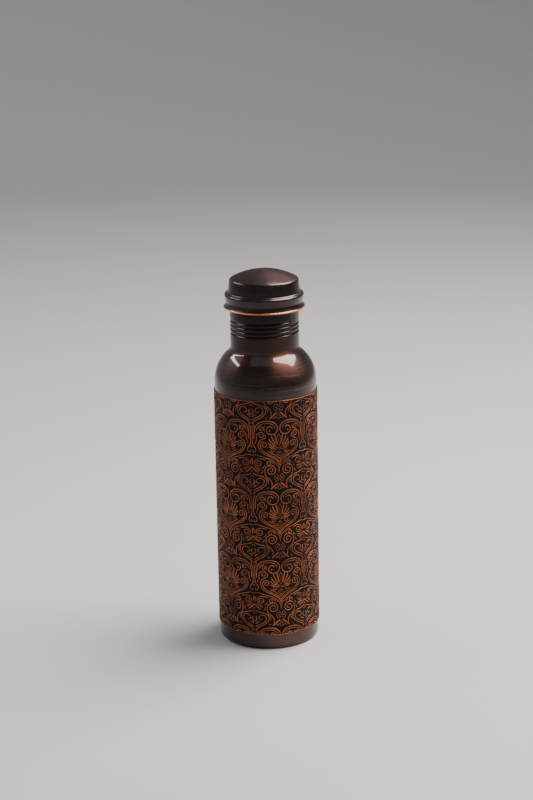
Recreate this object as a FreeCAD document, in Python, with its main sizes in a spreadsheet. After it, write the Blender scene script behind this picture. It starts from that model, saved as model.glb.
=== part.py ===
import FreeCAD, Part
import math
import os
import Sketcher

# Spun copper water bottle with a threaded neck, an etched sleeve and a screw-in lid.
# Lengths are in millimetres. +Z is up, the origin is the centre of the foot's underside.

doc = FreeCAD.newDocument("CopperBottle")
sheet = doc.addObject("Spreadsheet::Sheet", "Dims")

# alias, value or formula, what it is
DIMENSIONS = [
    # bottle body
    ("wall", "0.6", "sheet thickness of the bottle"),
    ("body_r", "36.3", "outer radius of the body"),
    ("foot_open_r", "31.5", "radius of the opening under the foot"),
    ("foot_round", "2.5", "outer corner radius of the foot"),
    ("shoulder_low", "192.5", "height where the shoulder starts to curve in"),
    ("shoulder_round", "28", "radius of the shoulder curve"),
    ("neck_fillet", "5", "radius of the corner between shoulder and neck"),
    ("neck_r", "24.4", "outer radius of the neck"),
    ("lip_centre", "250.3", "height of the mouth curl's centre"),
    ("lip_gap", "0.35", "inside radius of the mouth curl"),
    ("lip_hang", "0.4", "how far the curl's free edge turns down"),
    ("foot_flat_r", "=body_r - foot_round", "outer radius of the foot's flat ring"),
    ("foot_inner_round", "=foot_round - wall", "inside corner radius of the foot"),
    ("body_in_r", "=body_r - wall", "inside radius of the body"),
    ("bore_r", "=neck_r - wall", "inside radius of the neck"),
    ("shoulder_axis_r", "=body_r - shoulder_round", "radius of the shoulder curve's centre"),
    ("throat_reach", "=neck_r + neck_fillet - shoulder_axis_r", "curve centres, radial distance"),
    ("throat_sum", "=shoulder_round + neck_fillet", "curve centres, distance"),
    ("neck_low", "=shoulder_low + sqrt(throat_sum ^ 2 - throat_reach ^ 2)", "foot of the neck"),
    ("throat_r", "=shoulder_axis_r + shoulder_round * throat_reach / throat_sum",
     "radius where the two curves meet"),
    ("throat_z", "=shoulder_low + shoulder_round * (neck_low - shoulder_low) / throat_sum",
     "height where the two curves meet"),
    ("shoulder_in_round", "=shoulder_round - wall", "inside radius of the shoulder curve"),
    ("throat_in_r", "=shoulder_axis_r + shoulder_in_round * throat_reach / throat_sum",
     "inside radius where the curves meet"),
    ("throat_in_z",
     "=shoulder_low + shoulder_in_round * (neck_low - shoulder_low) / throat_sum",
     "inside height where the curves meet"),
    ("neck_in_fillet", "=neck_fillet + wall", "inside radius of the neck corner"),
    ("lip_round", "=lip_gap + wall", "outside radius of the mouth curl"),
    ("lip_axis_r", "=neck_r + lip_gap", "radius of the curl's centre"),
    ("lip_under", "=lip_centre + lip_gap", "height of the curl's inside top"),
    ("mouth_top", "=lip_centre + lip_round", "height of the mouth"),
    ("lip_in_r", "=lip_axis_r + lip_gap", "curl's free edge, inside"),
    ("lip_out_r", "=lip_axis_r + lip_round", "curl's free edge, outside"),
    ("lip_low", "=lip_centre - lip_hang", "height of the curl's free edge"),
    # rolled thread in the neck
    ("pitch", "3", "thread pitch, right hand"),
    ("turns", "3.883", "turns of thread in the neck"),
    ("thread_low", "226.35", "height where the thread starts"),
    ("groove_depth", "0.6", "depth and bottom radius of the rolled groove"),
    ("groove_half", "1.4", "half the width of the groove with its rolled shoulders"),
    ("groove_edge", "1.25", "half the width cut at the neck's surface"),
    ("crest_half", "1.2", "half the width of the crest inside the neck"),
    ("thread_height", "=pitch * turns", "axial length of the thread"),
    ("ridge_round", "=(groove_half ^ 2 - groove_depth ^ 2) / (2 * groove_depth)",
     "radius of the rolled shoulders"),
    ("groove_share", "=groove_depth / (groove_depth + ridge_round)", "where the two arcs meet"),
    ("groove_meet_r", "=neck_r - groove_share * ridge_round", "radius where the arcs meet"),
    ("groove_meet_low", "=thread_low - groove_share * groove_half", "lower meeting height"),
    ("groove_meet_high", "=thread_low + groove_share * groove_half", "upper meeting height"),
    ("groove_edge_r",
     "=neck_r - ridge_round + sqrt(ridge_round ^ 2 - (groove_half - groove_edge) ^ 2)",
     "radius where the groove leaves the surface"),
    ("groove_edge_low", "=thread_low - groove_edge", "lower side of the groove"),
    ("groove_edge_high", "=thread_low + groove_edge", "upper side of the groove"),
    ("groove_clear_r", "=neck_r + 0.4", "radius clear of the neck"),
    ("crest_tip_r", "=bore_r - groove_depth", "radius of the crest's tip"),
    ("crest_round", "=(crest_half ^ 2 + groove_depth ^ 2) / (2 * groove_depth)",
     "radius across the crest"),
    ("crest_low", "=thread_low - crest_half", "lower side of the crest"),
    ("crest_high", "=thread_low + crest_half", "upper side of the crest"),
    ("crest_root_r", "=bore_r + 0.2", "radius buried in the neck wall"),
    # base pan
    ("squeeze", "0.02", "radial interference of brazed and shrunk-on parts"),
    ("pan_low", "4", "height of the pan's underside"),
    ("pan_top", "10.5", "height of the pan's flange"),
    ("pan_round", "1.6", "outer corner radius of the pan"),
    ("pan_rise", "0.8", "height of the pressed centre"),
    ("pan_rise_in_r", "19", "radius of the pressed centre"),
    ("pan_rise_out_r", "21", "outer radius of the press step"),
    ("pan_r", "=body_in_r + squeeze", "outer radius of the pan"),
    ("pan_in_r", "=pan_r - wall", "inside radius of the pan's flange"),
    ("pan_flat_r", "=pan_r - pan_round", "outer radius of the pan's floor"),
    ("pan_in_round", "=pan_round - wall", "inside corner radius of the pan"),
    ("pan_corner_z", "=pan_low + pan_round", "height of the pan's corner"),
    ("pan_floor", "=pan_low + wall", "height of the pan's inner floor"),
    ("pan_rise_low", "=pan_low + pan_rise", "underside of the pressed centre"),
    ("pan_rise_top", "=pan_floor + pan_rise", "top of the pressed centre"),
    # etched sleeve
    ("sleeve_r", "37", "outer radius of the sleeve, over its etched relief"),
    ("sleeve_low", "11.3", "lower edge of the sleeve"),
    ("sleeve_top", "186.3", "upper edge of the sleeve"),
    ("sleeve_in_r", "=body_r - squeeze", "inside radius of the sleeve"),
    # lid shell
    ("lid_wall", "0.6", "sheet thickness of the lid"),
    ("lid_top", "272.2", "height of the lid's centre"),
    ("lid_wall_z", "264.2", "height where the wall turns into the top's edge"),
    ("lid_edge", "2.2", "radius of the top's edge"),
    ("lid_r", "24.6", "outer radius of the wall at the top"),
    ("ledge_r", "25.35", "outer radius of the wall at the ledge"),
    ("ledge_wall_z", "257.2", "height where the wall ends"),
    ("ledge_in_r", "25.95", "inner radius of the sloping ledge"),
    ("ledge_in_z", "256.4", "height of the ledge's inner edge"),
    ("ledge_out_r", "26.87", "outer radius of the sloping ledge"),
    ("ledge_out_z", "256.05", "height of the ledge's outer edge"),
    ("ledge_fillet", "0.98", "radius of the ledge's inside corner"),
    ("ledge_round", "1.72", "radius of the ledge's outside corner"),
    ("bead_r", "28", "largest radius of the lower wall"),
    ("bead_z", "254.44", "height of the lower wall's largest radius"),
    ("waist_r", "27.1", "radius where the skirt starts to flare"),
    ("waist_z", "249.8", "height where the skirt starts to flare"),
    ("hem_r", "28.1", "radius of the rolled hem's centre"),
    ("hem_z", "246.1", "height of the rolled hem's centre"),
    ("hem", "0.65", "radius of the rolled hem"),
    ("hem_low", "=hem_z - hem", "lowest point of the lid"),
    ("hem_high", "=hem_z + hem", "top of the rolled hem"),
    ("hem_out_r", "=hem_r + hem", "outer radius of the rolled hem"),
    ("hem_in_r", "=hem_r - hem", "inner radius of the rolled hem"),
    ("flare", "=((hem_r - waist_r) ^ 2 + (waist_z - hem_high) ^ 2) / (2 * (hem_r - waist_r))",
     "radius of the skirt's flare"),
    ("waist_in_r", "=waist_r - lid_wall", "inside radius at the waist"),
    ("flare_in", "=((hem_in_r - waist_in_r) ^ 2 + (waist_z - hem_z) ^ 2)"
     " / (2 * (hem_in_r - waist_in_r))", "inside radius of the flare"),
    ("bead_in_r", "=bead_r - lid_wall", "inside radius of the lower wall"),
    ("ledge_out_in_r", "=ledge_out_r - 0.45 * lid_wall", "inside of the ledge, outer radius"),
    ("ledge_out_in_z", "=ledge_out_z - 0.9 * lid_wall", "inside of the ledge, outer height"),
    ("ledge_in_in_r", "=ledge_in_r - lid_wall", "inside of the ledge, inner radius"),
    ("ledge_in_in_z", "=ledge_in_z - 0.5 * lid_wall", "inside of the ledge, inner height"),
    ("ledge_wall_in_r", "=ledge_r - lid_wall", "inside radius of the wall at the ledge"),
    ("lid_in_r", "=lid_r - lid_wall", "inside radius of the wall at the top"),
    ("lid_corner_r", "=lid_r - lid_edge", "radius of the edge curve's centre"),
    ("dome_rise", "=lid_top - lid_wall_z", "height of the domed top over that centre"),
    ("dome", "=(lid_corner_r ^ 2 + dome_rise ^ 2 - lid_edge ^ 2) / (2 * (dome_rise - lid_edge))",
     "radius of the domed top"),
    ("dome_in", "=dome - lid_wall", "inside radius of the domed top"),
    ("lid_edge_r", "=lid_corner_r * dome / (dome - lid_edge)", "radius where top and edge meet"),
    ("lid_edge_z", "=lid_top - dome + (dome - dome_rise) * dome / (dome - lid_edge)",
     "height where top and edge meet"),
    ("lid_in_edge", "=lid_edge - lid_wall", "inside radius of the top's edge"),
    ("lid_in_edge_r", "=lid_corner_r * dome_in / (dome - lid_edge)",
     "inside radius where top and edge meet"),
    ("lid_in_edge_z", "=lid_top - dome + (dome - dome_rise) * dome_in / (dome - lid_edge)",
     "inside height where top and edge meet"),
    ("lid_in_top", "=lid_top - lid_wall", "inside height of the top"),
    # threaded plug in the lid
    ("plug_play", "0.2", "radial play between plug and neck"),
    ("groove_play", "0.15", "play between plug groove and neck crest"),
    ("plug_low", "229", "underside of the plug"),
    ("plug_round", "1.5", "corner radius of the plug"),
    ("flange_low", "253.4", "underside of the plug's flange"),
    ("flange_r", "27.22", "radius of the flange, wedged in the lid's wall"),
    ("plug_extra", "0.45", "length of plug groove above the neck's thread"),
    ("plug_r", "=bore_r - plug_play", "outer radius of the plug"),
    ("plug_groove_round", "=crest_round + groove_play", "radius across the plug's groove"),
    ("plug_groove_axis_r", "=crest_tip_r + crest_round", "centre of the groove's section"),
    ("plug_groove_clear_r", "=plug_r + 0.3", "radius clear of the plug"),
    ("plug_groove_half",
     "=sqrt(plug_groove_round ^ 2 - (plug_groove_axis_r - plug_groove_clear_r) ^ 2)",
     "half the groove's width"),
    ("plug_groove_low", "=thread_low - plug_groove_half", "lower side of the plug's groove"),
    ("plug_groove_high", "=thread_low + plug_groove_half", "upper side of the plug's groove"),
    ("plug_thread_height", "=thread_height + plug_extra", "axial length of the groove"),
    ("plug_in_r", "=crest_tip_r - groove_play - lid_wall", "inside radius of the plug"),
    ("plug_flat_r", "=plug_r - plug_round", "radius of the plug's flat underside"),
    ("plug_corner_z", "=plug_low + plug_round", "height of the plug's corner"),
    ("plug_floor", "=plug_low + lid_wall", "inside floor of the plug"),
    ("flange_top", "=flange_low + lid_wall", "top of the plug's flange"),
    # seal
    ("seal_gap", "0.1", "gap under the seal when the lid is closed"),
    ("seal_slack", "0.03", "gap between seal and flange"),
    ("seal_in_r", "=plug_r + 0.1", "inside radius of the seal"),
    ("seal_out_r", "26.5", "outside radius of the seal"),
    ("seal_low", "=mouth_top + seal_gap", "underside of the seal"),
    ("seal_top", "=flange_low - seal_slack", "top of the seal"),
]

for row, (alias, value, meaning) in enumerate(DIMENSIONS, start=1):
    sheet.set("A%d" % row, meaning)
    sheet.set("B%d" % row, value)
    sheet.setAlias("B%d" % row, alias)
doc.recompute()


def size(alias):
    """Value of a sheet alias; None stands for the axis or the ground plane."""
    return 0.0 if alias is None else float(sheet.get(alias))


def arc_between(start, end, radius, side):
    """Arc from start to end with its centre on the left or right of the way there."""
    along = end.sub(start)
    across = FreeCAD.Vector(-along.y, along.x, 0).normalize()
    rise = math.sqrt(max(radius ** 2 - (along.Length / 2) ** 2, 0.0))
    if side == "right":
        rise = -rise
    centre = start.add(end).multiply(0.5).add(across.multiply(rise))
    first = start if side == "left" else end
    last = end if side == "left" else start
    angles = [math.atan2(p.y - centre.y, p.x - centre.x) for p in (first, last)]
    circle = Part.Circle(centre, FreeCAD.Vector(0, 0, 1), radius)
    return Part.ArcOfCircle(circle, angles[0], angles[1])


def outline(body, name, corners):
    """Closed sketch in the body's XZ plane.

    Each corner is (radius alias, height alias) and, where an arc leaves it, (side, radius
    alias). Every corner and every arc radius is bound to the sheet.
    """
    sketch = body.newObject("Sketcher::SketchObject", name)
    plane = [f for f in body.Origin.OriginFeatures if f.Role == "XZ_Plane"][0]
    sketch.AttachmentSupport = (plane, [""])
    sketch.MapMode = "FlatFace"
    points = [FreeCAD.Vector(size(c[0]), size(c[1]), 0) for c in corners]
    count = len(corners)
    ends = []
    for i, corner in enumerate(corners):
        start = points[i]
        end = points[(i + 1) % count]
        if len(corner) == 2:
            sketch.addGeometry(Part.LineSegment(start, end), False)
            ends.append((1, 2))
        else:
            side, radius = corner[2]
            sketch.addGeometry(arc_between(start, end, size(radius), side), False)
            ends.append((1, 2) if side == "left" else (2, 1))
    for i in range(count):
        after = (i + 1) % count
        sketch.addConstraint(
            Sketcher.Constraint("Coincident", i, ends[i][1], after, ends[after][0]))
    for i, corner in enumerate(corners):
        for kind, alias, axis in (("DistanceX", corner[0], -2), ("DistanceY", corner[1], -1)):
            if alias is None:
                sketch.addConstraint(Sketcher.Constraint("PointOnObject", i, ends[i][0], axis))
                continue
            number = sketch.addConstraint(
                Sketcher.Constraint(kind, -1, 1, i, ends[i][0], size(alias)))
            sketch.setExpression("Constraints[%d]" % number, "Dims." + alias)
        if len(corner) == 3:
            radius = corner[2][1]
            number = sketch.addConstraint(Sketcher.Constraint("Radius", i, size(radius)))
            sketch.setExpression("Constraints[%d]" % number, "Dims." + radius)
    sketch.Visibility = False
    return sketch


def turned(label, corners):
    """Body of revolution about the Z axis, from a closed outline."""
    body = doc.addObject("PartDesign::Body", label)
    body.Label = label
    body.Placement = FreeCAD.Placement()
    sketch = outline(body, label + "_section", corners)
    spin = body.newObject("PartDesign::Revolution", label + "_spin")
    spin.Profile = sketch
    spin.ReferenceAxis = (sketch, ["V_Axis"])
    spin.Angle = 360
    doc.recompute()
    return body


def thread(body, kind, name, corners, height):
    """Right-hand helical feature about the Z axis."""
    sketch = outline(body, name + "_section", corners)
    helix = body.newObject("PartDesign::" + kind, name)
    helix.Profile = sketch
    helix.ReferenceAxis = (sketch, ["V_Axis"])
    helix.Mode = 0
    helix.setExpression("Pitch", "Dims.pitch")
    helix.setExpression("Height", "Dims." + height)
    doc.recompute()
    return helix


# Foot, body and shoulder in one piece of spun sheet.
turned("body_shell", [
    ("foot_open_r", None),
    ("foot_flat_r", None, ("left", "foot_round")),
    ("body_r", "foot_round"),
    ("body_r", "shoulder_low", ("left", "shoulder_round")),
    ("throat_r", "throat_z", ("right", "neck_fillet")),
    ("neck_r", "neck_low"),
    ("bore_r", "neck_low", ("left", "neck_in_fillet")),
    ("throat_in_r", "throat_in_z", ("right", "shoulder_in_round")),
    ("body_in_r", "shoulder_low"),
    ("body_in_r", "foot_round", ("right", "foot_inner_round")),
    ("foot_flat_r", "wall"),
    ("foot_open_r", "wall"),
])

# Neck brazed edge to edge on the shoulder, with the mouth rolled outwards.
neck_collar = turned("neck_collar", [
    ("neck_r", "neck_low"),
    ("neck_r", "lip_centre", ("right", "lip_gap")),
    ("lip_axis_r", "lip_under", ("right", "lip_gap")),
    ("lip_in_r", "lip_centre"),
    ("lip_in_r", "lip_low"),
    ("lip_out_r", "lip_low"),
    ("lip_out_r", "lip_centre", ("left", "lip_round")),
    ("lip_axis_r", "mouth_top", ("left", "lip_round")),
    ("bore_r", "lip_centre"),
    ("bore_r", "neck_low"),
])
# Rolling the neck between two wheels leaves a crest inside and a groove outside.
thread(neck_collar, "AdditiveHelix", "neck_crest", [
    ("crest_root_r", "crest_low"),
    ("crest_root_r", "crest_high"),
    ("bore_r", "crest_high", ("left", "crest_round")),
    ("crest_tip_r", "thread_low", ("left", "crest_round")),
    ("bore_r", "crest_low"),
], "thread_height")
thread(neck_collar, "SubtractiveHelix", "neck_groove", [
    ("groove_clear_r", "groove_edge_low"),
    ("groove_clear_r", "groove_edge_high"),
    ("groove_edge_r", "groove_edge_high", ("right", "ridge_round")),
    ("groove_meet_r", "groove_meet_high", ("left", "groove_depth")),
    ("groove_meet_r", "groove_meet_low", ("right", "ridge_round")),
    ("groove_edge_r", "groove_edge_low"),
], "thread_height")

# Pressed pan brazed into the foot.
turned("base_pan", [
    (None, "pan_rise_low"),
    ("pan_rise_in_r", "pan_rise_low"),
    ("pan_rise_out_r", "pan_low"),
    ("pan_flat_r", "pan_low", ("left", "pan_round")),
    ("pan_r", "pan_corner_z"),
    ("pan_r", "pan_top"),
    ("pan_in_r", "pan_top"),
    ("pan_in_r", "pan_corner_z", ("right", "pan_in_round")),
    ("pan_flat_r", "pan_floor"),
    ("pan_rise_out_r", "pan_floor"),
    ("pan_rise_in_r", "pan_rise_top"),
    (None, "pan_rise_top"),
])

# Etched sheet shrunk on the body.
turned("etched_sleeve", [
    ("sleeve_in_r", "sleeve_low"),
    ("sleeve_r", "sleeve_low"),
    ("sleeve_r", "sleeve_top"),
    ("sleeve_in_r", "sleeve_top"),
])

# Spun shell of the lid: domed top, tapered wall, ledge, lower wall, flared skirt, rolled hem.
turned("cap_shell", [
    (None, "lid_top", ("right", "dome")),
    ("lid_edge_r", "lid_edge_z", ("right", "lid_edge")),
    ("lid_r", "lid_wall_z"),
    ("ledge_r", "ledge_wall_z", ("left", "ledge_fillet")),
    ("ledge_in_r", "ledge_in_z"),
    ("ledge_out_r", "ledge_out_z", ("right", "ledge_round")),
    ("bead_r", "bead_z"),
    ("waist_r", "waist_z", ("left", "flare")),
    ("hem_r", "hem_high", ("right", "hem")),
    ("hem_out_r", "hem_z", ("right", "hem")),
    ("hem_r", "hem_low", ("right", "hem")),
    ("hem_in_r", "hem_z", ("right", "flare_in")),
    ("waist_in_r", "waist_z"),
    ("bead_in_r", "bead_z"),
    ("ledge_out_in_r", "ledge_out_in_z"),
    ("ledge_in_in_r", "ledge_in_in_z"),
    ("ledge_wall_in_r", "ledge_wall_z"),
    ("lid_in_r", "lid_wall_z", ("left", "lid_in_edge")),
    ("lid_in_edge_r", "lid_in_edge_z", ("left", "dome_in")),
    (None, "lid_in_top"),
])

# Threaded plug fixed inside the lid; its groove runs on the neck's crest.
plug_cup = turned("plug_cup", [
    (None, "plug_low"),
    ("plug_flat_r", "plug_low", ("left", "plug_round")),
    ("plug_r", "plug_corner_z"),
    ("plug_r", "flange_low"),
    ("flange_r", "flange_low"),
    ("flange_r", "flange_top"),
    ("plug_in_r", "flange_top"),
    ("plug_in_r", "plug_floor"),
    (None, "plug_floor"),
])
thread(plug_cup, "SubtractiveHelix", "plug_groove", [
    ("plug_groove_clear_r", "plug_groove_low"),
    ("plug_groove_clear_r", "plug_groove_high", ("left", "plug_groove_round")),
], "plug_thread_height")

# Soft ring between the plug's flange and the mouth.
turned("seal_washer", [
    ("seal_in_r", "seal_low"),
    ("seal_out_r", "seal_low"),
    ("seal_out_r", "seal_top"),
    ("seal_in_r", "seal_top"),
])

doc.recompute()

for item in doc.Objects:
    if "Invalid" in item.State or "Error" in item.State:
        raise RuntimeError("%s did not build: %s" % (item.Label, item.State))

NODES = [
    "body_shell", "base_pan", "neck_collar", "etched_sleeve",
    "cap_shell", "plug_cup", "seal_washer",
]
os.makedirs("parts", exist_ok=True)
for node in NODES:
    shape = doc.getObject(node).Shape
    if shape.isNull() or not shape.isValid() or len(shape.Solids) != 1:
        raise RuntimeError("%s is not one valid solid" % node)
    shape.exportStep("parts/%s.step" % node)
    print(node, "volume %.1f mm3" % shape.Volume, shape.BoundBox)
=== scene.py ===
import math

import bpy
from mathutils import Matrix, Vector

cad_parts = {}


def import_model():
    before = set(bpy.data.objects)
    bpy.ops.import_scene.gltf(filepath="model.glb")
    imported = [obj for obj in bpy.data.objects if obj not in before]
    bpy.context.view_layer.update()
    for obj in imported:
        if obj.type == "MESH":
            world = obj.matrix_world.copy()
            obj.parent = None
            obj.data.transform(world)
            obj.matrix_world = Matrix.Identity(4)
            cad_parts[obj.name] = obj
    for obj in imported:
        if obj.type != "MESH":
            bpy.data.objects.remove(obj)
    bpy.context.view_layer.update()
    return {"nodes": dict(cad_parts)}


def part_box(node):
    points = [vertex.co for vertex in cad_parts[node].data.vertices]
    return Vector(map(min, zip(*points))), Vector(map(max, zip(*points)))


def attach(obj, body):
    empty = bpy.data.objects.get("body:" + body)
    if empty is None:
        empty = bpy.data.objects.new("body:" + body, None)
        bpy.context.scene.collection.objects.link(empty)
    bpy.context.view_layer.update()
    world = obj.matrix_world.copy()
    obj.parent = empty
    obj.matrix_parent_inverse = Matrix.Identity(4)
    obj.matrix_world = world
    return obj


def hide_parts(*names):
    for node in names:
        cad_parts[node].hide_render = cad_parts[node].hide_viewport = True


# Studio picture of a spun copper bottle with an etched sleeve. Blender works in metres; the
# ornament is drawn in millimetres on the unrolled sleeve.

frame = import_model()
nodes = frame["nodes"]
MM = 0.001


# ---------------------------------------------------------------- node-built materials
class Shader:
    """A material whose nodes are added by short calls; values may be numbers or sockets."""

    def __init__(self, name):
        self.material = bpy.data.materials.new(name)
        self.material.use_nodes = True
        self.tree = self.material.node_tree
        self.surface = self.tree.nodes["Principled BSDF"]
        coords = self.tree.nodes.new("ShaderNodeTexCoord")
        self.place = coords.outputs["Object"]
        parts = self.tree.nodes.new("ShaderNodeSeparateXYZ")
        self.tree.links.new(self.place, parts.inputs[0])
        self.x, self.y, self.z = parts.outputs

    def feed(self, socket, value):
        if isinstance(value, bpy.types.NodeSocket):
            self.tree.links.new(value, socket)
        else:
            socket.default_value = value

    def math(self, kind, first, second=0.0, third=0.0):
        step = self.tree.nodes.new("ShaderNodeMath")
        step.operation = kind
        for socket, value in zip(step.inputs, (first, second, third)):
            self.feed(socket, value)
        return step.outputs[0]

    def radius(self):
        square = self.math("MULTIPLY_ADD", self.x, self.x, self.math("MULTIPLY", self.y, self.y))
        return self.math("SQRT", square)

    def step(self, value, low, high):
        """0 below low, 1 above high, smooth between."""
        ramp = self.tree.nodes.new("ShaderNodeMapRange")
        ramp.interpolation_type = "SMOOTHSTEP"
        self.feed(ramp.inputs["Value"], value)
        ramp.inputs["From Min"].default_value = low
        ramp.inputs["From Max"].default_value = high
        return ramp.outputs["Result"]

    def noise(self, scale, detail=4.0, rough=0.55, stretch=(1.0, 1.0, 1.0)):
        mapping = self.tree.nodes.new("ShaderNodeMapping")
        self.feed(mapping.inputs["Vector"], self.place)
        mapping.inputs["Scale"].default_value = stretch
        cloud = self.tree.nodes.new("ShaderNodeTexNoise")
        self.feed(cloud.inputs["Vector"], mapping.outputs[0])
        cloud.inputs["Scale"].default_value = scale
        cloud.inputs["Detail"].default_value = detail
        cloud.inputs["Roughness"].default_value = rough
        return cloud.outputs["Fac"]

    def mix(self, share, first, second):
        blend = self.tree.nodes.new("ShaderNodeMix")
        blend.data_type = "RGBA"
        self.feed(blend.inputs["Factor"], share)
        for key, value in (("A", first), ("B", second)):
            socket = [s for s in blend.inputs if s.name == key and s.type == "RGBA"][0]
            self.feed(socket, value if isinstance(value, bpy.types.NodeSocket) else (*value, 1.0))
        return [s for s in blend.outputs if s.type == "RGBA"][0]

    def range(self, value, low, high):
        return self.math("MULTIPLY_ADD", value, high - low, low)

    def bump(self, height, distance, strength=1.0, below=None):
        relief = self.tree.nodes.new("ShaderNodeBump")
        relief.inputs["Strength"].default_value = strength
        relief.inputs["Distance"].default_value = distance
        self.feed(relief.inputs["Height"], height)
        if below is not None:
            self.feed(relief.inputs["Normal"], below)
        return relief.outputs["Normal"]

    def lay(self, amount):
        """Brushing round the axis, which spreads highlights up and down."""
        tangent = self.tree.nodes.new("ShaderNodeTangent")
        tangent.direction_type = "RADIAL"
        tangent.axis = "Z"
        self.tree.links.new(tangent.outputs[0], self.surface.inputs["Tangent"])
        self.surface.inputs["Anisotropic"].default_value = amount
        self.surface.inputs["Anisotropic Rotation"].default_value = 0.25

    def finish(self, colour, rough, normal=None, metallic=1.0, **sockets):
        self.feed(self.surface.inputs["Base Color"], colour)
        self.feed(self.surface.inputs["Roughness"], rough)
        self.feed(self.surface.inputs["Metallic"], metallic)
        if normal is not None:
            self.feed(self.surface.inputs["Normal"], normal)
        for name, value in sockets.items():
            self.surface.inputs[name.replace("_", " ")].default_value = value
        return self.material


DARK = (0.011, 0.0068, 0.0058)
BROWN = (0.030, 0.0160, 0.0125)
WARM = (0.150, 0.058, 0.038)
BRIGHT = (0.74, 0.33, 0.17)
RELIEF = (0.33, 0.112, 0.050)
# near-black: the etched ground's real blackening, and painted shade at the bottoms of the thread
# grooves
BLACK_GROUND_AND_GROOVE_SHADE = (0.006, 0.005, 0.005)
GROOVE_SHADE_FADE = (0.02382, 0.02400)         # radii over which the painted shade in the thread grooves fades out
HEM_R = 0.0278                           # radius where the lid's rubbed hem begins
HEM_HEIGHT = 0.00135                     # height of the rubbed hem over its lowest point
TOP_FADE = (0.0064, 0.0058)              # depths under the lid's centre where its satin begins


def turned_copper(name, dark, brown, warm, gloss=1.0, shaded_grooves=None, hem=None, top=None):
    """Oxidised, lacquered copper with lathe lines, patina and, where given, worn parts and painted
    shade in the thread grooves.
    """
    s = Shader(name)
    blotch = s.noise(55.0, 5.0, 0.6)
    cloud = s.noise(16.0, 3.0, 0.5)
    lines = s.noise(900.0, 3.0, 0.6, (0.03, 0.03, 1.0))
    fine = s.noise(4200.0, 2.0, 0.5, (0.012, 0.012, 1.0))
    pits = s.noise(2600.0, 2.0, 0.5)
    colour = s.mix(s.step(blotch, 0.32, 0.68), dark, brown)
    colour = s.mix(s.math("MULTIPLY", s.step(cloud, 0.45, 0.78), 0.6), colour, warm)
    colour = s.mix(s.math("MULTIPLY", s.step(lines, 0.52, 0.74), 0.40), colour, warm)
    colour = s.mix(s.math("MULTIPLY", s.step(lines, 0.48, 0.28), 0.55), colour, dark)
    rough = s.math("ADD", s.range(lines, 0.30, 0.48), s.range(blotch, -0.05, 0.09))
    coat = s.range(blotch, 0.62 * gloss, 0.38 * gloss)
    # painted shade: the bottoms of the thread grooves get a near-black colour, a rougher finish and
    # less lacquer
    if shaded_grooves:
        groove_shade = s.step(s.radius(), shaded_grooves[0], shaded_grooves[1])
        colour = s.mix(groove_shade, BLACK_GROUND_AND_GROOVE_SHADE, colour)
        rough = s.math("MULTIPLY_ADD", groove_shade, -0.3, s.math("ADD", rough, 0.3))
        coat = s.math("MULTIPLY", coat, s.range(groove_shade, 0.3, 1.0))
    if hem:
        edge = s.math("MULTIPLY", s.step(s.z, hem[0], hem[0] - 0.0003),
                      s.step(s.radius(), hem[1] - 0.0004, hem[1]))
        rubbed = s.mix(s.step(blotch, 0.3, 0.7), (0.50, 0.19, 0.08), BRIGHT)
        rubbed = s.mix(s.step(pits, 0.62, 0.72), rubbed, BROWN)
        colour = s.mix(edge, colour, rubbed)
        rough = s.math("MULTIPLY_ADD", edge, -0.08, rough)
        coat = s.math("MULTIPLY", coat, s.range(edge, 1.0, 0.3))
    if top:
        dull = s.step(s.z, top[0], top[1])
        satin = s.mix(s.step(blotch, 0.3, 0.7), (0.017, 0.0102, 0.0098), (0.027, 0.0160, 0.0150))
        satin = s.mix(s.step(pits, 0.56, 0.68), satin, (0.070, 0.043, 0.040))
        colour = s.mix(dull, colour, satin)
        rough = s.math("MULTIPLY_ADD", dull, 0.20, rough)
        coat = s.math("MULTIPLY", coat, s.range(dull, 1.0, 0.12))
    normal = s.bump(fine, 0.00002, 0.35)
    normal = s.bump(lines, 0.00010, 0.25, normal)
    normal = s.bump(blotch, 0.0006, 0.08, normal)
    s.feed(s.surface.inputs["Coat Weight"], coat)
    s.lay(0.2 if top else 0.8)
    return s.finish(colour, rough, normal, Coat_Roughness=0.08)


def etched_copper(name, ground_r, top_r):
    """Copper left bright where it stands proud and blackened in the etched ground."""
    s = Shader(name)
    blotch = s.noise(70.0, 5.0, 0.62)
    grain = s.noise(1500.0, 4.0, 0.6)
    scratch = s.noise(600.0, 3.0, 0.6, (1.0, 1.0, 0.15))
    raised = s.step(s.radius(), ground_r + 0.25 * (top_r - ground_r), top_r - 0.00004)
    copper = s.mix(s.step(blotch, 0.30, 0.66), (0.17, 0.052, 0.024), RELIEF)
    copper = s.mix(s.math("MULTIPLY", s.step(grain, 0.50, 0.72), 0.45), copper, (0.58, 0.25, 0.13))
    copper = s.mix(s.math("MULTIPLY", s.step(grain, 0.46, 0.26), 0.55), copper, (0.08, 0.03, 0.018))
    ground = s.mix(s.step(grain, 0.42, 0.75), BLACK_GROUND_AND_GROOVE_SHADE, (0.015, 0.008, 0.0065))
    colour = s.mix(raised, ground, copper)
    rough = s.math("MULTIPLY_ADD", raised, -0.26, s.range(grain, 0.58, 0.78))
    metal = s.range(raised, 0.3, 1.0)
    s.surface.inputs["Specular IOR Level"].default_value = 0.2
    normal = s.bump(grain, 0.00006, 0.45)
    normal = s.bump(scratch, 0.00008, 0.25, normal)
    return s.finish(colour, rough, normal, metal)


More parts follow.
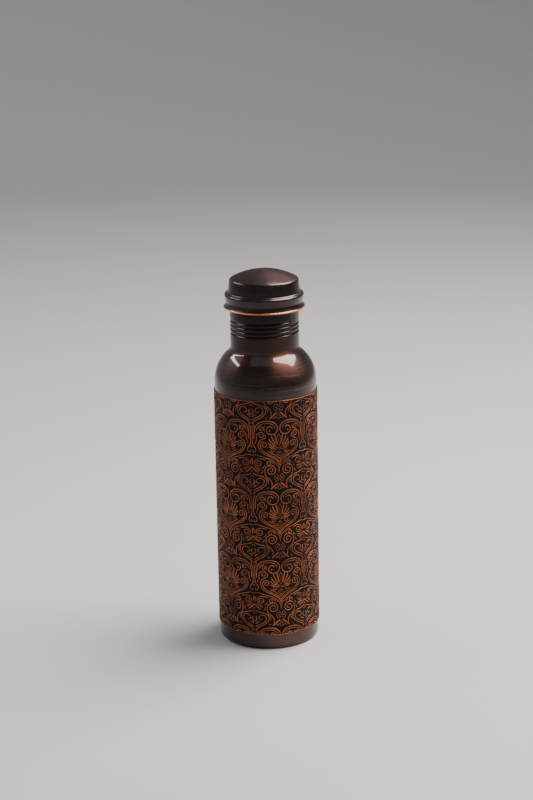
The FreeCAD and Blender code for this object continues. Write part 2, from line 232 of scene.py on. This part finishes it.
def plain_copper(name):
    s = Shader(name)
    blotch = s.noise(60.0, 5.0, 0.6)
    lines = s.noise(1200.0, 3.0, 0.6, (0.03, 0.03, 1.0))
    colour = s.mix(s.step(blotch, 0.3, 0.7), (0.50, 0.22, 0.13), (0.72, 0.37, 0.24))
    colour = s.mix(s.math("MULTIPLY", s.step(lines, 0.52, 0.75), 0.4), colour, (0.85, 0.50, 0.34))
    return s.finish(colour, s.range(lines, 0.20, 0.36), s.bump(lines, 0.00008, 0.3))


def silicone(name):
    s = Shader(name)
    cloud = s.noise(180.0, 3.0, 0.5)
    colour = s.mix(cloud, (0.62, 0.60, 0.55), (0.74, 0.73, 0.69))
    return s.finish(colour, s.range(cloud, 0.38, 0.52), s.bump(cloud, 0.0001, 0.2), 0.0,
                    Subsurface_Weight=0.25)


def dress(node, material):
    for slot in nodes[node].material_slots:
        slot.material = material


# ---------------------------------------------------------------- mesh helpers
def piece(name, verts, faces, material, smooth=False):
    mesh = bpy.data.meshes.new(name)
    mesh.from_pydata(verts, [], faces)
    mesh.materials.append(material)
    mesh.polygons.foreach_set("use_smooth", [smooth] * len(mesh.polygons))
    mesh.update()
    made = bpy.data.objects.new(name, mesh)
    bpy.context.scene.collection.objects.link(made)
    return made


def lathe(name, profile, material, segments=240):
    """Closed ring section (radius, height in mm) turned about Z, with every corner sharp."""
    verts, faces = [], []
    count = len(profile)
    for i in range(segments):
        turn = 2 * math.pi * i / segments
        for r, z in profile:
            verts.append((r * MM * math.cos(turn), r * MM * math.sin(turn), z * MM))
    for i in range(segments):
        a, b = i * count, (i + 1) % segments * count
        for k in range(count):
            n = (k + 1) % count
            faces.append((a + k, b + k, b + n, a + n))
    made = piece(name, verts, faces, material, True)
    for edge in made.data.edges:
        p, q = edge.vertices
        if p % count == q % count:
            edge.use_edge_sharp = True
    return made


# ---------------------------------------------------------------- etched ornament
sleeve_low, sleeve_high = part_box("etched_sleeve")
SLEEVE_R = 37.0
GROUND_R = 36.8
LOW = sleeve_low[2] / MM
HIGH = sleeve_high[2] / MM
BORDER = 0.5
REPEATS = 6
HALF = math.pi * SLEEVE_R / REPEATS      # half the width of one repeat
RISE = 51.7                              # height of one repeat
FIRST = 48.9                             # height of a palmette's foot
FACING = math.radians(-76.5)             # direction of one palmette column
SHEET = 0.45                             # copper behind the etched ground
CORNER = 0.1                             # bevel of the plain borders' edges
ROOT_R = GROUND_R - 0.05                 # strokes start a little inside the ground
FLANK_R = SLEEVE_R - 0.025               # where a stroke's flank meets its crown
CROWN_R = SLEEVE_R - 0.005               # top of a stroke
BEVEL = 0.16                             # width of a stroke's flank
TAPER = 1.6                              # length over which a stroke narrows to its end
SPACING = 0.62                           # distance between a stroke's points
OVERLAP = 0.25                           # how far strokes run into a border


def spiral(u, v, outer, inner, start, turns):
    """Points of a spiral from its outer end inwards; turns is positive anticlockwise."""
    steps = max(6, int(abs(turns) * 9))
    points = []
    for i in range(steps + 1):
        share = i / steps
        r = outer + (inner - outer) * share
        a = math.radians(start) + 2 * math.pi * turns * share
        points.append((u + r * math.cos(a), v + r * math.sin(a)))
    return points


# One half of a repeat, mirrored about the palmette column. u runs right from the column,
# v up from the palmette's foot. Each stroke is (width, end widths, points).
def half_repeat():
    strokes = []

    def stroke(width, points, start=0.4, end=0.4):
        strokes.append((width, start, end, points))

    # heart-shaped frame round the palmette, with nested tips
    stroke(0.80, [(0, -12.6), (1.6, -9.6), (5.2, -6.9), (10.2, -4.4), (13.5, -1.4), (14.7, 2.0),
                  (13.7, 4.9), (11.4, 6.5), (9.0, 7.7)], 1, 0.3)
    stroke(0.80, [(0, -10.4), (2.4, -7.5), (6.3, -5.2), (10.2, -2.9), (12.6, -0.2), (13.2, 2.2),
                  (12.2, 4.2)] + spiral(10.6, 2.3, 2.35, 0.5, 50, 1.35)[1:], 1, 0.2)
    stroke(0.75, [(0, -8.2), (2.2, -5.8), (5.0, -4.0), (8.2, -2.2)], 1, 0.2)
    stroke(0.75, [(0, -14.9), (1.5, -12.2), (4.6, -9.2), (8.6, -7.4), (13.0, -6.0), (16.6, -4.9),
                  (19.3, -5.3)], 1, 0.8)
    stroke(0.6, [(0, -6.6), (0.9, -5.2), (2.6, -3.8)], 1, 0.3)
    # palmette: almond in the middle, fanned petals beside it
    stroke(0.6, [(0, 1.2), (1.15, 4.2), (1.25, 7.2), (0, 10.6)], 0.6, 0.6)
    stroke(0.6, [(0, 3.4), (0, 7.6)], 0.3, 0.3)
    for angle, length, bend in ((72, 10.4, 1.0), (54, 10.0, 1.5), (36, 9.4, 1.9), (18, 8.6, 1.9),
                                (0, 7.6, 1.5)):
        c, s = math.cos(math.radians(angle)), math.sin(math.radians(angle))
        stroke(1.05, [(2.6 * c, 2.6 * s + 0.3),
                      (length * 0.5 * c + bend * 0.25 * s, length * 0.5 * s - bend * 0.25 * c + 0.4),
                      (length * 0.8 * c, length * 0.8 * s + 0.5),
                      (length * c - bend * 0.5 * s, length * s + bend * c * 0.5 + 0.6)],
               0.3, 0.5)
    stroke(0.7, [(0, 0.2), (1.7, 0.5), (2.6, 1.6)], 0.5, 0.3)
    # volutes and drop under the palmette
    stroke(0.7, [(0.2, -0.6), (2.0, -0.9)] + spiral(4.3, -1.7, 1.75, 0.4, 100, -1.3), 0.3, 0.2)
    stroke(0.9, [(0, -1.6), (0, -5.0)], 0.3, 0.3)
    stroke(0.6, [(0.5, -2.6), (1.6, -3.3), (2.3, -3.0)], 0.3, 0.3)
    # large scrolls over the palmette, each with a leaf
    stroke(0.9, [(17.6, 6.5), (17.4, 11), (16.6, 15.2), (14, 18.3), (9.2, 19.6), (4.2, 18.9),
                 (1.3, 16.2), (1.0, 12.9), (2.6, 10.6), (5.4, 9.9), (8.0, 11.1), (8.7, 13.6),
                 (7.3, 15.6), (5.2, 15.4), (4.5, 13.8)], 0.8, 0.2)
    stroke(0.7, [(15.2, 13.6), (14.4, 16.0), (12.2, 17.5), (9.0, 18.1), (5.2, 17.5), (3.0, 15.6),
                 (2.7, 13.6)], 0.2, 0.2)
    stroke(1.2, [(6.9, 12.0), (6.1, 13.4)], 0.8, 0.5)
    stroke(0.8, [(9.9, 16.4), (10.5, 14.2), (10.0, 12.0)], 0.3, 0.3)
    # small scrolls beside them
    stroke(0.8, [(16.0, 12.6), (14.6, 15.0)] + spiral(12.5, 14.2, 1.9, 0.5, 20, 1.3)[1:], 0.4, 0.2)
    stroke(0.8, [(16.2, 4.6), (15.6, 7.2), (15.6, 9.6)] + spiral(12.6, 9.5, 2.5, 0.5, 30, 1.35)[1:],
           0.4, 0.2)
    stroke(0.9, [(9.7, 7.6), (9.4, 9.0), (10.0, 10.4)], 0.4, 0.2)
    stroke(0.8, [(16.4, 3.0), (16.9, 5.0)], 0.4, 0.4)
    # trunk where two frames meet
    stroke(0.75, [(18.72, 16.4), (18.72, 11.0), (18.72, 4.4), (17.9, 2.6)], 0.5, 0.3)
    stroke(0.7, [(18.9, 18.6), (17.6, 17.6), (18.05, 14)], 0.3, 0.3)
    # curls at the trunk's foot
    stroke(0.8, [(HALF, 3.6), (17.8, 1.8), (16.5, -0.4), (16.6, -2.2), (17.9, -3.0), (18.7, -2.0),
                 (18.1, -1.0)], 0.3, 0.2)
    stroke(0.9, [(HALF, 1.6), (18.5, 0.4)], 0.3, 0.3)
    # inverted heart over the trunk, with scrolls inside
    stroke(0.8, [(19.0, 17.8), (16.8, 19.9), (13.0, 22.0), (9.9, 24.4), (8.8, 27.2), (9.9, 29.8),
                 (12.8, 31.2), (16.0, 31.9), (HALF, 33.4)], 0.6, 0.3)
    stroke(0.8, [(18.9, 20.2), (16.2, 21.9), (13.0, 23.6), (11.0, 25.8), (10.9, 28.0),
                 (12.6, 29.5), (15.0, 29.3), (16.3, 27.6), (15.3, 25.9), (13.7, 26.6)], 0.5, 0.2)
    stroke(0.9, [(18.7, 22.4), (17.4, 24.0), (15.6, 24.3)], 0.5, 0.2)
    stroke(1.0, [(18.7, 28.8), (17.7, 26.8), (18.4, 25.2), (HALF, 24.2)], 0.3, 0.3)
    stroke(0.8, [(HALF, 31.6), (17.8, 30.4)], 0.3, 0.2)
    # roof over the heart
    stroke(1.3, [(HALF, 38.1), (17.4, 35.9), (14.6, 33.8)], 0.8, 0.3)
    stroke(0.8, [(HALF, 35.4), (18.2, 34.4)], 0.3, 0.3)
    stroke(0.9, [(13.2, 33.2), (11.8, 34.2), (11.6, 36.2)], 0.3, 0.3)
    stroke(0.9, [(15.8, 36.6), (14.2, 35.6), (13.0, 36.4)], 0.3, 0.3)
    # round spirals under the frame's tip, their stems reaching the leaves
    stroke(0.85, [(5.4, 22.6), (5.3, 26.0), (6.6, 28.6), (9.0, 30.6), (10.2, 33.4), (9.9, 36.6)]
           + spiral(5.9, 35.2, 4.1, 0.6, 15, 1.9)[1:], 0.4, 0.2)
    stroke(0.7, [(7.6, 25.2), (7.9, 28.0), (9.8, 30.6)], 0.3, 0.3)
    # rosette
    for angle in (-60, 0, 60):
        c, s = math.cos(math.radians(angle)), math.sin(math.radians(angle))
        stroke(1.1, [(1.0 * c, 29.6 + 1.0 * s), (2.4 * c, 29.6 + 2.4 * s)], 0.3, 0.6)
    stroke(0.9, [(0, 29.3), (0, 29.9)], 0.6, 0.6)
    stroke(0.6, spiral(0, 29.6, 3.4, 3.4, -75, 150 / 360), 0.3, 0.3)
    stroke(0.9, [(0, 33.4), (0, 37.6)], 0.3, 0.3)
    # leaves between rosette and scrolls
    stroke(0.7, [(0, 20.4), (1.1, 22.6), (0, 25.4)], 0.3, 0.6)
    stroke(1.25, [(1.0, 26.0), (3.6, 23.7), (6.4, 21.2)], 0.6, 0.3)
    stroke(1.0, [(1.8, 21.4), (2.6, 22.5), (3.6, 21.4)], 0.3, 0.3)
    stroke(0.8, [(9.6, 21.2), (7.6, 22.8)], 0.3, 0.3)
    # spirals outside the frame's tip
    stroke(0.8, [(9.0, -8.8), (11.4, -8.0), (14.4, -7.6)]
           + spiral(14.6, -10.7, 3.0, 0.6, 80, -1.7)[1:], 0.3, 0.2)
    stroke(0.8, [(3.2, -12.6), (4.4, -10.9), (6.2, -9.6)]
           + spiral(7.1, -11.4, 1.8, 0.4, 110, -1.3)[1:], 0.3, 0.2)
    stroke(1.0, [(HALF, -7.4), (18.6, -9.4), (18.8, -12.2)], 0.3, 0.3)
    stroke(0.9, [(10.2, -12.0), (10.6, -13.6), (12.2, -14.6)], 0.3, 0.3)
    stroke(0.9, [(13.4, -14.8), (16.4, -14.4), (17.8, -12.8)], 0.3, 0.3)
    return strokes


def rounded(points, spacing):
    """Smooth curve through the points, sampled at about the given spacing."""
    if len(points) == 2:
        middle = tuple((a + b) / 2 for a, b in zip(*points))
        points = [points[0], middle, points[1]]
    before = [2 * a - b for a, b in zip(points[0], points[1])]
    after = [2 * a - b for a, b in zip(points[-1], points[-2])]
    held = [before, *points, after]
    out = []
    for i in range(1, len(held) - 2):
        p0, p1, p2, p3 = held[i - 1:i + 3]
        steps = max(1, round(math.dist(p1, p2) / spacing))
        for j in range(steps):
            k = j / steps
            out.append(tuple(
                0.5 * (2 * b + (c - a) * k + (2 * a - 5 * b + 4 * c - d) * k * k
                       + (3 * b - a - 3 * c + d) * k ** 3)
                for a, b, c, d in zip(p0, p1, p2, p3)))
    out.append(tuple(points[-1]))
    return out


def ribbon(verts, faces, line, width, ends, column, lift):
    """Adds one raised stroke, following a line on the unrolled sleeve."""
    length = [0.0]
    for a, b in zip(line, line[1:]):
        length.append(length[-1] + math.dist(a, b))
    taper = min(TAPER, length[-1] / 2)
    first = len(verts)
    for i, (u, v) in enumerate(line):
        a, b = line[max(i - 1, 0)], line[min(i + 1, len(line) - 1)]
        du, dv = b[0] - a[0], b[1] - a[1]
        size = math.hypot(du, dv) or 1.0
        side = (-dv / size, du / size)
        lean = min(ends[0] + (1 - ends[0]) * math.sin(min(1.0, length[i] / taper) * math.pi / 2),
                   ends[1] + (1 - ends[1]) * math.sin(
                       min(1.0, (length[-1] - length[i]) / taper) * math.pi / 2))
        half = width / 2 * lean
        flat = max(half - BEVEL, half * 0.35)
        for offset, r in ((-half, ROOT_R), (-flat, FLANK_R), (0, CROWN_R), (flat, FLANK_R),
                          (half, ROOT_R)):
            turn = FACING + column * 2 * math.pi / REPEATS + (u + side[0] * offset) / SLEEVE_R
            z = v + side[1] * offset
            verts.append((r * MM * math.cos(turn), r * MM * math.sin(turn), (z + lift) * MM))
    for i in range(len(line) - 1):
        a, b = first + i * 5, first + (i + 1) * 5
        for k in range(4):
            faces.append((a + k, b + k, b + k + 1, a + k + 1))
    last = first + (len(line) - 1) * 5
    faces.append(tuple(first + k for k in range(5)))
    faces.append(tuple(last + k for k in (4, 3, 2, 1, 0)))


def within_borders(line, lift):
    """The runs of a line that lie between the sleeve's two plain borders."""
    runs, run = [], []
    for point in line:
        if LOW + BORDER - OVERLAP <= point[1] + lift <= HIGH - BORDER + OVERLAP:
            run.append(point)
        else:
            runs.append(run)
            run = []
    runs.append(run)
    return [r for r in runs if len(r) > 2]


def ornament(material):
    strokes = [(w, s, e, rounded(p, SPACING)) for w, s, e, p in half_repeat()]
    for column in range(REPEATS):
        verts, faces = [], []
        for row in range(-1, 4):
            lift = FIRST + row * RISE
            for mirror in (1, -1):
                for width, start, end, line in strokes:
                    on_axis = all(abs(u) < 0.01 for u, v in line)
                    if on_axis and mirror < 0:
                        continue
                    shown = [(u * mirror, v) for u, v in line]
                    for run in within_borders(shown, lift):
                        ends = (start if run[0] == shown[0] else 1.0,
                                end if run[-1] == shown[-1] else 1.0)
                        ribbon(verts, faces, run, width, ends, column, lift)
        made = piece("etched_relief_%d" % (column + 1), verts, faces, material)
        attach(made, "bottle")
        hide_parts("etched_sleeve")


# ---------------------------------------------------------------- the bottle
etched = etched_copper("etched_copper_look", GROUND_R * MM, SLEEVE_R * MM)
body_copper = turned_copper("body_copper_look", DARK, BROWN, WARM, gloss=1.5)
neck_copper = turned_copper("neck_copper_look", (0.005, 0.0032, 0.0028), (0.014, 0.0078, 0.0062),
                            (0.080, 0.034, 0.024), gloss=0.8, shaded_grooves=GROOVE_SHADE_FADE)
base_copper = turned_copper("base_copper_look", (0.003, 0.0019, 0.0016), (0.008, 0.0044, 0.0035),
                            (0.032, 0.0135, 0.0095), gloss=0.2)
hem_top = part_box("cap_shell")[0][2] + HEM_HEIGHT
lid_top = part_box("cap_shell")[1][2]
lid_copper = turned_copper("lid_copper_look", (0.014, 0.011, 0.011), (0.034, 0.024, 0.022),
                           (0.100, 0.060, 0.050), hem=(hem_top, HEM_R),
                           top=[lid_top - depth for depth in TOP_FADE])
dress("body_shell", body_copper)
dress("base_pan", base_copper)
dress("neck_collar", neck_copper)
dress("cap_shell", lid_copper)
dress("plug_cup", plain_copper("plug_copper_look"))
dress("seal_washer", silicone("silicone_look"))

inner = GROUND_R - SHEET
sheet = lathe("etched_sheet", [
    (inner, LOW), (SLEEVE_R - CORNER, LOW), (SLEEVE_R, LOW + CORNER),
    (SLEEVE_R, LOW + BORDER - CORNER), (GROUND_R, LOW + BORDER), (GROUND_R, HIGH - BORDER),
    (SLEEVE_R, HIGH - BORDER + CORNER), (SLEEVE_R, HIGH - CORNER), (SLEEVE_R - CORNER, HIGH),
    (inner, HIGH)], etched)
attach(sheet, "bottle")
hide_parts("etched_sleeve")
ornament(etched)


# ---------------------------------------------------------------- studio
LIGHT_AIM = Vector((0, 0, 0.2))
CAMERA_AIM = Vector((0.0005, 0, 0.1768))


def stage_material():
    s = Shader("floor_look")
    cloud = s.noise(3.0, 3.0, 0.5)
    grain = s.noise(260.0, 4.0, 0.6)
    colour = s.mix(cloud, (0.42, 0.41, 0.40), (0.47, 0.46, 0.45))
    # painted light: the floor turns paler from half a metre out and the curved wall is paler still,
    # standing in for light the lamps do not throw there
    colour = s.mix(s.step(s.radius(), 0.5, 2.2), colour, (0.66, 0.65, 0.64))
    return s.finish(colour, s.range(grain, 0.55, 0.68), s.bump(grain, 0.0002, 0.15), 0.0)


def backdrop():
    """Pale floor that curves up into a wall all round the object."""
    reach, bend, height, segments = 2.9, 0.9, 2.4, 96
    line = [(0.0, 0.0), (1.2, 0.0), (reach - bend, 0.0)]
    for i in range(1, 17):
        a = math.pi / 2 * i / 16
        line.append((reach - bend + bend * math.sin(a), bend - bend * math.cos(a)))
    line.append((reach, height))
    verts = [(0.0, 0.0, 0.0)]
    for i in range(segments):
        turn = 2 * math.pi * i / segments
        verts += [(r * math.cos(turn), r * math.sin(turn), z) for r, z in line[1:]]
    n = len(line) - 1
    faces = []
    for i in range(segments):
        a, b = 1 + i * n, 1 + (i + 1) % segments * n
        faces.append((0, a, b))
        faces += [(a + k, a + k + 1, b + k + 1, b + k) for k in range(n - 1)]
    made = piece("studio_floor", verts, faces, stage_material(), True)


def softbox(name, azimuth, elevation, distance, width, height, power, colour, roll=0.0):
    """Area light aimed at the neck; azimuth is measured from the front towards the right."""
    a, e = math.radians(azimuth), math.radians(elevation)
    way = Vector((math.sin(a) * math.cos(e), -math.cos(a) * math.cos(e), math.sin(e)))
    lamp = bpy.data.lights.new(name, "AREA")
    lamp.shape = "RECTANGLE"
    lamp.size, lamp.size_y = width, height
    lamp.energy = power
    lamp.color = colour
    made = bpy.data.objects.new(name, lamp)
    made.location = way * distance + LIGHT_AIM
    made.rotation_euler = way.to_track_quat("Z", "Y").to_euler()
    made.rotation_euler.rotate_axis("Z", math.radians(roll))
    bpy.context.scene.collection.objects.link(made)


def camera():
    """Looks down on the front at 16 degrees from 1.32 m, with a slight tilt."""
    elevation, roll, distance = math.radians(16.0), math.radians(-0.95), 1.321
    back = Vector((0, -math.cos(elevation), math.sin(elevation)))
    data = bpy.data.cameras.new("camera")
    data.sensor_fit = "AUTO"
    data.sensor_width = 36.0
    data.lens = 83.25
    made = bpy.data.objects.new("camera", data)
    made.location = CAMERA_AIM + back * distance
    made.rotation_euler = back.to_track_quat("Z", "Y").to_euler()
    made.rotation_euler.rotate_axis("Z", roll)
    bpy.context.scene.collection.objects.link(made)
    bpy.context.scene.camera = made


def world():
    made = bpy.data.worlds.new("studio_world")
    made.use_nodes = True
    sky = made.node_tree.nodes["Background"]
    sky.inputs["Color"].default_value = (0.80, 0.82, 0.86, 1)
    sky.inputs["Strength"].default_value = 0.17
    bpy.context.scene.world = made


backdrop()
world()
camera()
softbox("key_right", 110, 59, 1.15, 0.88, 0.84, 52, (1.0, 0.93, 0.91))
softbox("strip_left", -110, 38, 1.15, 0.80, 0.10, 6, (0.80, 0.90, 1.0), roll=14)
softbox("ceiling_back", 180, 58, 1.7, 2.4, 1.0, 4, (1.0, 0.88, 0.87))
softbox("ceiling_front", -10, 72, 1.7, 1.5, 0.7, 1.8, (1.0, 0.90, 0.87))
